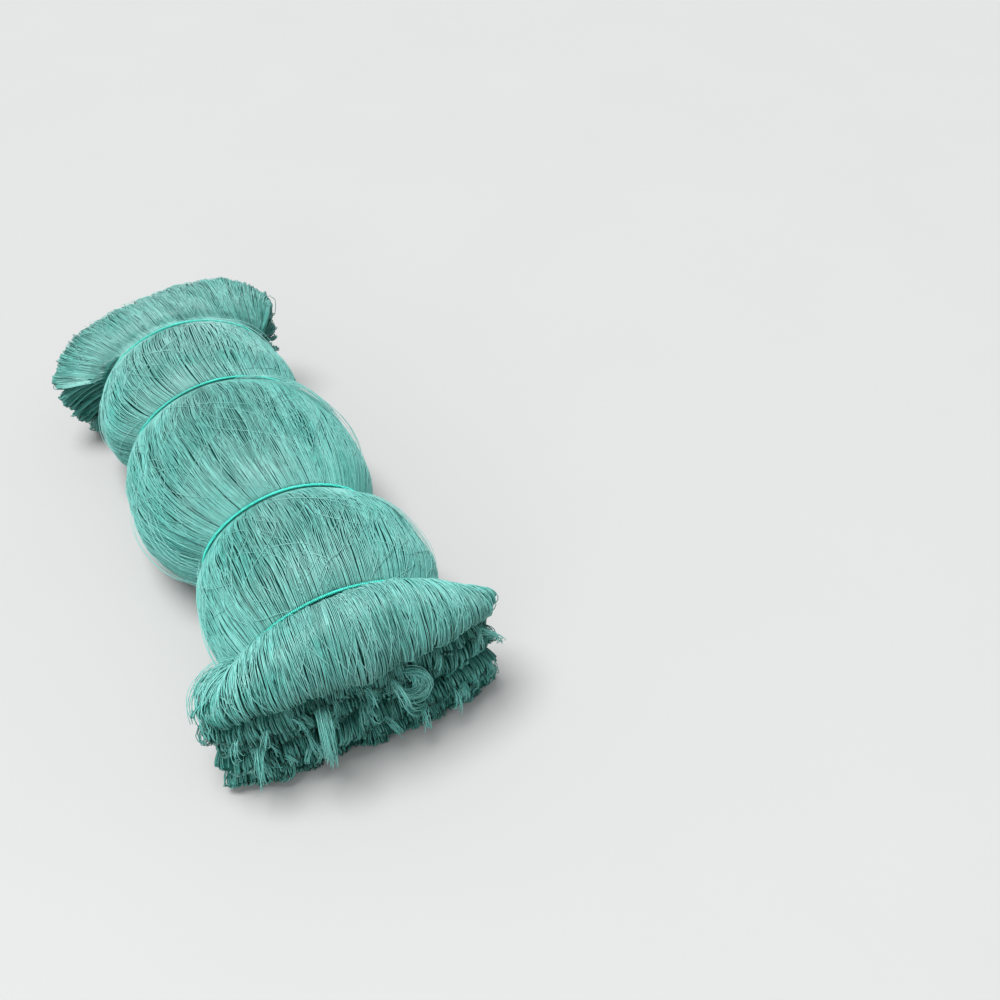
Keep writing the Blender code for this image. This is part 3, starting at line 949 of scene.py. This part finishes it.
# Strands that stand off the net: where they leave it and come back, and how far they stand off
StrayLoop = namedtuple("StrayLoop", "start_x end_x start_angle end_angle lift strands")
STRAY_LOOPS = (
    StrayLoop(-0.136, -0.030, 72, 26, 0.011, 9),
    StrayLoop(-0.120, 0.020, 48, 6, 0.008, 5),
    StrayLoop(-0.010, 0.175, 166, 196, 0.021, 4),
    StrayLoop(0.030, 0.150, 158, 176, 0.011, 4),
    StrayLoop(-0.302, -0.240, 64, 30, 0.010, 7),
    StrayLoop(0.150, 0.270, 40, 8, 0.008, 6),
    StrayLoop(0.190, 0.300, 160, 186, 0.009, 5),
    StrayLoop(-0.270, -0.160, 150, 182, 0.008, 5),
)

# Locks that have come out of the folds. A lock leaves its fold at across and along, in the
# direction ahead, and turns towards another; both are given as outward, sideways and up.
Lock = namedtuple("Lock", "end level across along ahead towards length turn width strands")
LOCKS = (
    Lock(NEAR_END, 1, -0.28, 0.93, (0.8, -0.1, 0.2), (0, 0, -1), 0.070, 2.3, 0.0080, 60),
    Lock(NEAR_END, 1, 0.26, 0.93, (0.3, 1.0, 0.2), (0.1, -0.4, -1), 0.086, 4.6, 0.0075, 46),
    Lock(NEAR_END, 2, 0.40, 0.93, (0.2, -1.0, 0.1), (0.2, 0.5, -1), 0.060, 3.3, 0.0050, 22),
    Lock(NEAR_END, 2, -0.72, 0.93, (1.0, -0.5, 0.3), (0, 0.1, -1), 0.052, 2.0, 0.0050, 26),
    Lock(NEAR_END, 3, 0.10, 0.93, (1.0, 0.3, 0.1), (0, 0.3, -1), 0.034, 1.8, 0.0040, 18),
    Lock(NEAR_END, 1, 0.86, 0.93, (1.0, 0.5, 0.3), (-0.2, 0.4, -1), 0.044, 2.6, 0.0045, 22),
    Lock(NEAR_END, 0, -0.95, 0.06, (-0.5, -1.0, 0.2), (1.0, 0, -0.9), 0.086, 2.4, 0.0120, 120),
    Lock(NEAR_END, 0, -0.88, 0.14, (0.1, -1.0, 0.3), (0.9, 0, -1), 0.074, 1.9, 0.0110, 80),
    Lock(NEAR_END, 0, 0.86, 0.30, (0.3, 1.0, 0.4), (0.7, -0.2, -1), 0.056, 2.9, 0.0080, 50),
    Lock(FAR_END, 1, -0.70, 0.93, (1.0, 0.3, 0.1), (0, 0, -1), 0.050, 1.8, 0.0050, 24),
)
SMALL_LOCKS = 58
SMALL_LOCK_ALONG = 0.93
SMALL_LOCK_WIDTH = 0.0038
LOCK_STEPS = 11
LOCK_TWINE = 0.75
LOCK_LENGTHS = (0.70, 1.08)
LOCK_TURNS = (0.82, 1.15)
LOCK_ROOT = 0.6


def lock_paths(rng, lock):
    """The strands of one lock: they leave the fold's tip together, bend and spread apart."""
    place = np.array([lock.along]), np.array([lock.across]), np.array([1.0])
    root, _ = fold_points(*placed_fold(lock.end, lock.level), *place, LOCK_ROOT)
    flip = np.array([lock.end.outward, 1.0, 1.0])
    ahead = np.array(lock.ahead) * flip
    ahead = ahead / np.linalg.norm(ahead)
    towards = np.array(lock.towards) * flip
    towards = towards - ahead * (ahead @ towards)
    towards = towards / np.linalg.norm(towards)
    third = np.cross(ahead, towards)
    share = np.linspace(0, 1, LOCK_STEPS)[None, :]
    count = lock.strands
    step = lock.length * rng.uniform(*LOCK_LENGTHS, (count, 1)) / (LOCK_STEPS - 1)
    heading = lock.turn * rng.uniform(*LOCK_TURNS, (count, 1)) * share**1.15
    run = np.cumsum(np.cos(heading), 1) * step
    fall = np.cumsum(np.sin(heading), 1) * step
    paths = root + run[..., None] * ahead + fall[..., None] * towards
    offset = rng.normal(0, lock.width / 2.2, (count, 1, 3))
    paths += offset * (0.75 + 0.35 * share[..., None])
    paths += own_waves(rng, count, share, LOCK_WAVE)[..., None] * third
    return paths, np.cross(np.gradient(paths, axis=1), third)


def small_lock(rng):
    """A small lock somewhere along the tips of the lower folds."""
    end = ENDS[int(rng.integers(2))]
    ahead = (1.0, float(rng.uniform(-0.7, 0.7)), float(rng.uniform(-0.2, 0.4)))
    towards = (float(rng.uniform(-0.2, 0.2)), float(rng.uniform(-0.5, 0.5)), -1.0)
    level = int(rng.integers(1, 4))
    across = float(rng.uniform(-0.9, 0.9))
    length, turn = float(rng.uniform(0.018, 0.042)), float(rng.uniform(1.4, 3.8))
    place = (end, level, across, SMALL_LOCK_ALONG)
    return Lock(*place, ahead, towards, length, turn, SMALL_LOCK_WIDTH, int(rng.integers(7, 17)))


def loose_locks(seed):
    """Locks of strands that have come out of the folds' tips."""
    rng = np.random.default_rng(seed)
    locks = LOCKS + tuple(small_lock(rng) for _ in range(SMALL_LOCKS))
    made = [lock_paths(rng, lock) for lock in locks]
    paths, outs = (np.concatenate(group) for group in zip(*made))
    radius = LOCK_TWINE * TWINE_RADIUS
    paths[..., 2] = np.maximum(paths[..., 2], radius)
    tone = rng.uniform(0.35, 1.0, (len(paths), 1))
    return strand_piece("loose_locks", paths, outs, radius, tone, 0.0)


# Fine hairs over the lobes and top folds. Wild ones lie askew. Over a lobe, turn and bow are how
# far one strays round it, as radians.
HAIR_RADIUS = 0.00039
HAIRS_PER_METRE = 560
HAIR_STEPS = 14
HAIR_SHORTEST = 0.3
HAIR_ENDS = (0.02, 0.98)
WILD_SHARE = 0.35
Hair = namedtuple("Hair", "turn bow")
WILD_HAIR = Hair(0.34, 0.22)
CALM_HAIR = Hair(0.10, 0.07)
FOLD_HAIRS = 90


def loose_twine(seed):
    """Strands that have worked loose: fine ones that lie across the lobes, and stray loops."""
    rng = np.random.default_rng(seed)
    paths, outs = [], []
    share = np.linspace(0, 1, HAIR_STEPS)
    arch = np.sin(math.pi * share)

    def add(x, angles, lift):
        path = body_points(x, angles, lift)
        path[..., 2] = np.maximum(path[..., 2], HAIR_RADIUS)
        paths.append(path)
        outs.append(body_points(x, angles, lift + OUTWARD) - path)

    for before, after in zip(TIES, TIES[1:]):
        length = after.x - before.x
        for _ in range(int(HAIRS_PER_METRE * length)):
            start, end = np.sort(rng.uniform(*HAIR_ENDS, 2))
            if end - start < HAIR_SHORTEST:
                end = min(start + 0.35, HAIR_ENDS[1])
            hair = WILD_HAIR if rng.uniform() < WILD_SHARE else CALM_HAIR
            angle = rng.uniform(-0.25, math.pi + 0.25)
            turn, bow = rng.normal(0, hair.turn), rng.normal(0, hair.bow)
            lift = 0.0003 + abs(rng.normal(0.0008, 0.0010)) * arch
            angles = angle + turn * (share - 0.5) + bow * arch
            add(before.x + length * mix(start, end, share), angles, lift)
    for loop in STRAY_LOOPS:
        for _ in range(loop.strands):
            start_x, end_x = rng.normal((loop.start_x, loop.end_x), 0.006)
            x = np.clip(mix(start_x, end_x, share), TIES[0].x, TIES[-1].x)
            turn = np.radians((loop.start_angle, loop.end_angle)) + rng.normal(0, 0.07, 2)
            lift = loop.lift * rng.uniform(0.35, 1.15) * arch**0.8
            add(x, mix(turn[0], turn[1], smooth(share)), lift)
    for end in ENDS:
        args = placed_fold(end, 0)
        for _ in range(FOLD_HAIRS):
            across = rng.uniform(-0.9, 0.9) + rng.normal(0, 0.09) * (share - 0.5)
            across = across + rng.normal(0, 0.04) * arch
            along = mix(rng.uniform(0.1, 0.4), rng.uniform(0.75, 0.99), share)
            thicker = 1 + (0.0006 + abs(rng.normal(0, 0.0012))) * 2 / args[0].thickness
            path, out = fold_points(*args, along, across, np.ones(HAIR_STEPS), thicker)
            paths.append(path)
            outs.append(out)
    tone = rng.uniform(0.65, 1.20, (len(paths), 1))
    return strand_piece("loose_twine", np.array(paths), np.array(outs), HAIR_RADIUS, tone, 0.0)


# Finishes: linear colours
TWINE_DARK = (0.003, 0.134, 0.108, 1.0)
TWINE_BODY = (0.112, 0.515, 0.450, 1.0)
TWINE_PALE = (0.270, 0.680, 0.625, 1.0)
# Paler colour higher up: partly fading and dust, partly painted light
TWINE_FADED_AND_LIT = (0.360, 0.710, 0.665, 1.0)
TWINE_SHEEN = (0.7, 1.0, 0.92, 1.0)
# Painted shade: the net under the outer strands is coloured dark for the shade in the slits
INNER_SHADE_DARK = (0.004, 0.040, 0.032, 1.0)
INNER_SHADE_BODY = (0.018, 0.120, 0.098, 1.0)
CORD_BODY = (0.050, 0.900, 0.740, 1.0)
CORD_PALE = (0.190, 0.960, 0.850, 1.0)
CORD_DARK = (0.010, 0.740, 0.590, 1.0)
# The cord's paler colour higher up: partly fading and dust, partly painted light
CORD_FADED_AND_LIT = (0.45, 0.80, 0.70, 1.0)
FLOOR_COLOUR = (0.47, 0.47, 0.465, 1.0)
FLOOR_DARKER = 0.97

# Painted shade: how much of the dark colour a strand takes where it lies deep, and down its flanks
DEEP_PAINTED_SHADE = 0.80
FLANK_PAINTED_SHADE = 0.45


def new_group(name, inputs, outputs):
    """A shader node group with named sockets; inputs are (name, default), all plain numbers."""
    group = bpy.data.node_groups.new(name, "ShaderNodeTree")
    for label, value in inputs:
        socket = group.interface.new_socket(label, in_out="INPUT", socket_type="NodeSocketFloat")
        socket.default_value = value
    for label in outputs:
        group.interface.new_socket(label, in_out="OUTPUT", socket_type="NodeSocketFloat")
    return group, group.nodes.new("NodeGroupInput"), group.nodes.new("NodeGroupOutput")


def set_input(tree, socket, value):
    """Links a socket to another one, or gives it a value."""
    if isinstance(value, bpy.types.NodeSocket):
        tree.links.new(value, socket)
    else:
        socket.default_value = value


def add_node(tree, kind, settings=None, **values):
    """A node with its settings, and its inputs linked or given values."""
    node = tree.nodes.new(kind)
    for label, value in (settings or {}).items():
        setattr(node, label, value)
    for label, value in values.items():
        set_input(tree, node.inputs[label.replace("_", " ")], value)
    return node


def object_places(tree):
    return tree.nodes.new("ShaderNodeTexCoord").outputs["Object"]


def mix_colour(tree, share, first, second):
    """A colour between two, by a share from 0 to 1."""
    node = add_node(tree, "ShaderNodeMix", {"data_type": "RGBA"})
    for place, value in ((0, share), (6, first), (7, second)):
        set_input(tree, node.inputs[place], value)
    return node.outputs[2]


def calculate(tree, operation, first, second, clamp=False):
    """A sum on two numbers, kept between 0 and 1 where clamp is set."""
    node = add_node(tree, "ShaderNodeMath", {"operation": operation, "use_clamp": clamp})
    set_input(tree, node.inputs[0], first)
    set_input(tree, node.inputs[1], second)
    return node.outputs[0]


def rescale(tree, value, low, high, to_low=0.0, to_high=1.0):
    """Maps a value from one range to another and keeps it there."""
    limits = dict(From_Min=low, From_Max=high, To_Min=to_low, To_Max=to_high)
    return add_node(tree, "ShaderNodeMapRange", Value=value, **limits).outputs["Result"]


def fibre_group():
    """Fine fibres along a yarn: a height for bump, and how rough the yarn is there."""
    inputs = [("Fineness", 900.0), ("Roughness", 0.45), ("Unevenness", 0.15)]
    group, given, made = new_group("Yarn Fibres", inputs, ["Height", "Roughness"])
    places = object_places(group)
    fineness = given.outputs["Fineness"]
    fibres = add_node(
        group, "ShaderNodeTexNoise", Vector=places, Scale=fineness, Detail=2.0, Roughness=0.6
    )
    group.links.new(fibres.outputs["Fac"], made.inputs["Height"])
    patches = add_node(group, "ShaderNodeTexNoise", Vector=places, Scale=60.0, Detail=3.0)
    offset = calculate(group, "SUBTRACT", patches.outputs["Fac"], 0.5)
    offset = calculate(group, "MULTIPLY", offset, given.outputs["Unevenness"])
    rough = calculate(group, "ADD", offset, given.outputs["Roughness"], clamp=True)
    group.links.new(rough, made.inputs["Roughness"])
    return group


def fading_and_top_light_group():
    """How much paler the net is higher up, more at the far end, in uneven patches: partly fading
    and dust, partly painted light on its raised tops.
    """
    inputs = [("Amount", 0.5), ("Patch Size", 14.0)]
    group, given, made = new_group("Fading Dust And Painted Top Light", inputs, ["Mask"])
    places = object_places(group)
    parted = add_node(group, "ShaderNodeSeparateXYZ", Vector=places)
    # Higher parts are paler: partly fading, partly painted light on the tops
    raised = rescale(group, parted.outputs["Z"], 0.06, 0.20)
    size = given.outputs["Patch Size"]
    patches = add_node(
        group, "ShaderNodeTexNoise", Vector=places, Scale=size, Detail=5.0, Roughness=0.62
    )
    uneven = rescale(group, patches.outputs["Fac"], 0.32, 0.70)
    far = rescale(group, parted.outputs["X"], -0.08, -0.20, 1.0, 1.9)
    both = calculate(group, "MULTIPLY", calculate(group, "MULTIPLY", raised, uneven), far)
    mask = calculate(group, "MULTIPLY", both, given.outputs["Amount"], clamp=True)
    group.links.new(mask, made.inputs["Mask"])
    return group


def new_material(name):
    """A material, its node tree and its shader."""
    material = bpy.data.materials.new(name)
    material.use_nodes = True
    return material, material.node_tree, material.node_tree.nodes["Principled BSDF"]


def add_fibres(tree, shader, fibres, **values):
    """Makes a shader as rough as its yarn's fibres, and gives their height."""
    grain = add_node(tree, "ShaderNodeGroup", {"node_tree": fibres}, **values)
    tree.links.new(grain.outputs["Roughness"], shader.inputs["Roughness"])
    return grain.outputs["Height"]


def add_bump(tree, shader, height, strength, distance):
    bump = add_node(tree, "ShaderNodeBump", Strength=strength, Distance=distance, Height=height)
    tree.links.new(bump.outputs["Normal"], shader.inputs["Normal"])


def twine_material(fibres, fading_and_top_light):
    """Nylon twine: each strand has its own shade, with painted shade where it lies deep, down its
    flanks and at the folds' fronts, undersides and gaps, and paler higher up, partly from fading
    and dust and partly from painted light.
    """
    material, tree, shader = new_material("Net Twine")

    def attribute(name):
        return add_node(tree, "ShaderNodeAttribute", {"attribute_name": name}).outputs["Fac"]

    places = object_places(tree)
    slubs = add_node(tree, "ShaderNodeTexNoise", Vector=places, Scale=160.0, Detail=3.0)
    slub = calculate(tree, "MULTIPLY", calculate(tree, "SUBTRACT", slubs.outputs["Fac"], 0.5), 0.7)
    shade = calculate(tree, "ADD", attribute("tone"), slub)
    colour = mix_colour(tree, rescale(tree, shade, -0.05, 0.55), TWINE_DARK, TWINE_BODY)
    colour = mix_colour(tree, rescale(tree, shade, 0.45, 1.15), colour, TWINE_PALE)
    # Paler higher up: partly fading and dust, partly painted light
    faded_and_lit = add_node(tree, "ShaderNodeGroup", {"node_tree": fading_and_top_light}, Amount=0.66)
    colour = mix_colour(tree, faded_and_lit.outputs["Mask"], colour, TWINE_FADED_AND_LIT)
    # Painted shade: the dark colour where a strand lies deep and down its flanks
    for name, darkens in (("deep_shade", DEEP_PAINTED_SHADE), ("flank_shade", FLANK_PAINTED_SHADE)):
        share = calculate(tree, "MULTIPLY", attribute(name), darkens)
        colour = mix_colour(tree, share, colour, TWINE_DARK)
    tree.links.new(colour, shader.inputs["Base Color"])
    height = add_fibres(tree, shader, fibres, Fineness=1400.0, Roughness=0.36, Unevenness=0.25)
    add_bump(tree, shader, height, 0.25, 0.0002)
    shader.inputs["Sheen Weight"].default_value = 0.12
    shader.inputs["Sheen Roughness"].default_value = 0.4
    shader.inputs["Sheen Tint"].default_value = TWINE_SHEEN
    return material


def inside_material(fibres):
    """The net below the outer strands, in painted shade: its colours are much darker than the twine's.
    """
    material, tree, shader = new_material("Inner Net Painted Shade")
    stretched = add_node(tree, "ShaderNodeMapping", Vector=object_places(tree))
    stretched.inputs["Scale"].default_value = (12.0, 420.0, 420.0)
    strands = add_node(
        tree, "ShaderNodeTexNoise", Vector=stretched.outputs[0], Scale=1.0, Detail=2.0
    )
    share = rescale(tree, strands.outputs["Fac"], 0.35, 0.7)
    tree.links.new(mix_colour(tree, share, INNER_SHADE_DARK, INNER_SHADE_BODY), shader.inputs["Base Color"])
    shader.inputs["Specular IOR Level"].default_value = 0.1
    add_fibres(tree, shader, fibres, Roughness=0.9)
    add_bump(tree, shader, strands.outputs["Fac"], 0.8, 0.001)
    return material


def cord_material(fibres, fading_and_top_light):
    """The bright plied cord of the ties."""
    material, tree, shader = new_material("Tie Cord")
    places = object_places(tree)
    streaks = add_node(tree, "ShaderNodeTexNoise", Vector=places, Scale=420.0, Detail=2.0)
    streak = streaks.outputs["Fac"]
    colour = mix_colour(tree, rescale(tree, streak, 0.3, 0.5), CORD_DARK, CORD_BODY)
    colour = mix_colour(tree, rescale(tree, streak, 0.5, 0.75), colour, CORD_PALE)
    # Paler higher up: partly fading and dust, partly painted light
    faded_and_lit = add_node(tree, "ShaderNodeGroup", {"node_tree": fading_and_top_light}, Amount=0.15)
    colour = mix_colour(tree, faded_and_lit.outputs["Mask"], colour, CORD_FADED_AND_LIT)
    tree.links.new(colour, shader.inputs["Base Color"])
    height = add_fibres(tree, shader, fibres, Fineness=2200.0, Roughness=0.38)
    add_bump(tree, shader, height, 0.3, 0.0002)
    return material


def floor_material():
    """A plain pale floor."""
    material, tree, shader = new_material("Pale Floor")
    cloud = add_node(
        tree, "ShaderNodeTexNoise", Vector=object_places(tree), Scale=3.0, Detail=4.0
    )
    darker = tuple(value * FLOOR_DARKER for value in FLOOR_COLOUR[:3]) + (1.0,)
    colour = mix_colour(tree, cloud.outputs["Fac"], darker, FLOOR_COLOUR)
    tree.links.new(colour, shader.inputs["Base Color"])
    shader.inputs["Roughness"].default_value = 0.85
    return material


# The photograph's camera: where it stands, how it is turned and its lens, in millimetres
CAMERA_PLACE = (1.0697, -0.1607, 1.0054)
CAMERA_TURN = math.radians(63.05)
CAMERA_DOWN = math.radians(42.22)
CAMERA_LENS = 36.458
SENSOR_WIDTH = 36.0
NEAREST = 0.05


def make_camera():
    """The photograph's own view of the net."""
    camera = add_object("camera", bpy.data.cameras.new("camera"))
    camera.data.sensor_width = SENSOR_WIDTH
    camera.data.lens = CAMERA_LENS
    camera.data.clip_start = NEAREST
    camera.location = CAMERA_PLACE
    camera.rotation_euler = (math.pi / 2 - CAMERA_DOWN, 0.0, CAMERA_TURN)
    bpy.context.scene.camera = camera


# The studio: half the floor's side, the soft high light, the soft side light and the light all
# round
FLOOR_REACH = 6.0
HIGH_STRENGTH = 3.6
HIGH_SOFTNESS = math.radians(34)
HIGH_TOWARDS = Vector((-0.12, -0.20, 1.0))
SIDE_PLACE = Vector((1.7, -1.3, 0.8))
SIDE_AIM = Vector((0.1, 0, 0.08))
SIDE_SIZE = 1.2
SIDE_POWER = 9.0
AROUND_COLOUR = (0.95, 0.98, 1.0, 1.0)
AROUND_STRENGTH = 0.56


def make_studio():
    """A plain floor, a large soft light above and behind, and soft light all round."""
    corners = ((-1, -1), (1, -1), (1, 1), (-1, 1))
    mesh = bpy.data.meshes.new("floor")
    places = [(FLOOR_REACH * x, FLOOR_REACH * y, 0) for x, y in corners]
    mesh.from_pydata(places, [], [(0, 1, 2, 3)])
    mesh.materials.append(floor_material())
    floor = add_object("floor", mesh)
    high = add_object("high_light", bpy.data.lights.new("high_light", "SUN"))
    high.data.energy = HIGH_STRENGTH
    high.data.angle = HIGH_SOFTNESS
    high.rotation_euler = HIGH_TOWARDS.to_track_quat("Z", "Y").to_euler()
    side = add_object("side_light", bpy.data.lights.new("side_light", "AREA"))
    side.data.size = SIDE_SIZE
    side.data.energy = SIDE_POWER
    side.location = SIDE_PLACE
    side.rotation_euler = (SIDE_AIM - SIDE_PLACE).to_track_quat("-Z", "Y").to_euler()
    world = bpy.data.worlds.new("studio")
    world.use_nodes = True
    background = world.node_tree.nodes["Background"]
    background.inputs["Color"].default_value = AROUND_COLOUR
    background.inputs["Strength"].default_value = AROUND_STRENGTH
    bpy.context.scene.world = world
    bpy.context.scene.view_settings.view_transform = "Standard"


def dress(pieces, material):
    for piece in pieces:
        piece.data.materials.clear()
        piece.data.materials.append(material)


# What each kind of piece's random draws start from
LOBE_SEEDS = (11, 21, 31)
SECOND_LAYER_SEED = 9
BETWEEN_SEED = 95
TWINE_SEED = 91
LOCK_SEED = 93
TIE_SEED = 100


def main():
    make_camera()
    make_studio()
    fibres = fibre_group()
    fading_and_top_light = fading_and_top_light_group()
    net = [lobe_strands(k, f"lobe_{k + 1}", seed) for k, seed in enumerate(LOBE_SEEDS)]
    for end in ENDS:
        top = [
            fold_paths(end, 0, end.seed + k * SECOND_LAYER_SEED, layer)
            for k, layer in enumerate(TOP_LAYERS)
        ]
        net.append(fold_strands(f"{end.label}_top_fold", top))
        lower = [
            fold_paths(end, level, end.seed + level, layer)
            for level in range(1, len(end.folds))
            for layer in LOWER_LAYERS[end.label]
        ]
        net.append(fold_strands(f"{end.label}_lower_folds", lower))
    between = [
        fold_paths(FAR_END, level, BETWEEN_SEED + int(2 * level), BETWEEN_LAYER)
        for level in BETWEEN_LEVELS
    ]
    net.append(fold_strands("far_folds_between", between))
    net += [loose_twine(TWINE_SEED), loose_locks(LOCK_SEED)]
    dress(net, twine_material(fibres, fading_and_top_light))
    dress([make_heart()], inside_material(fibres))
    cords = [make_tie(number, tie, TIE_SEED + number) for number, tie in enumerate(TIES, 1)]
    dress(cords, cord_material(fibres, fading_and_top_light))


main()
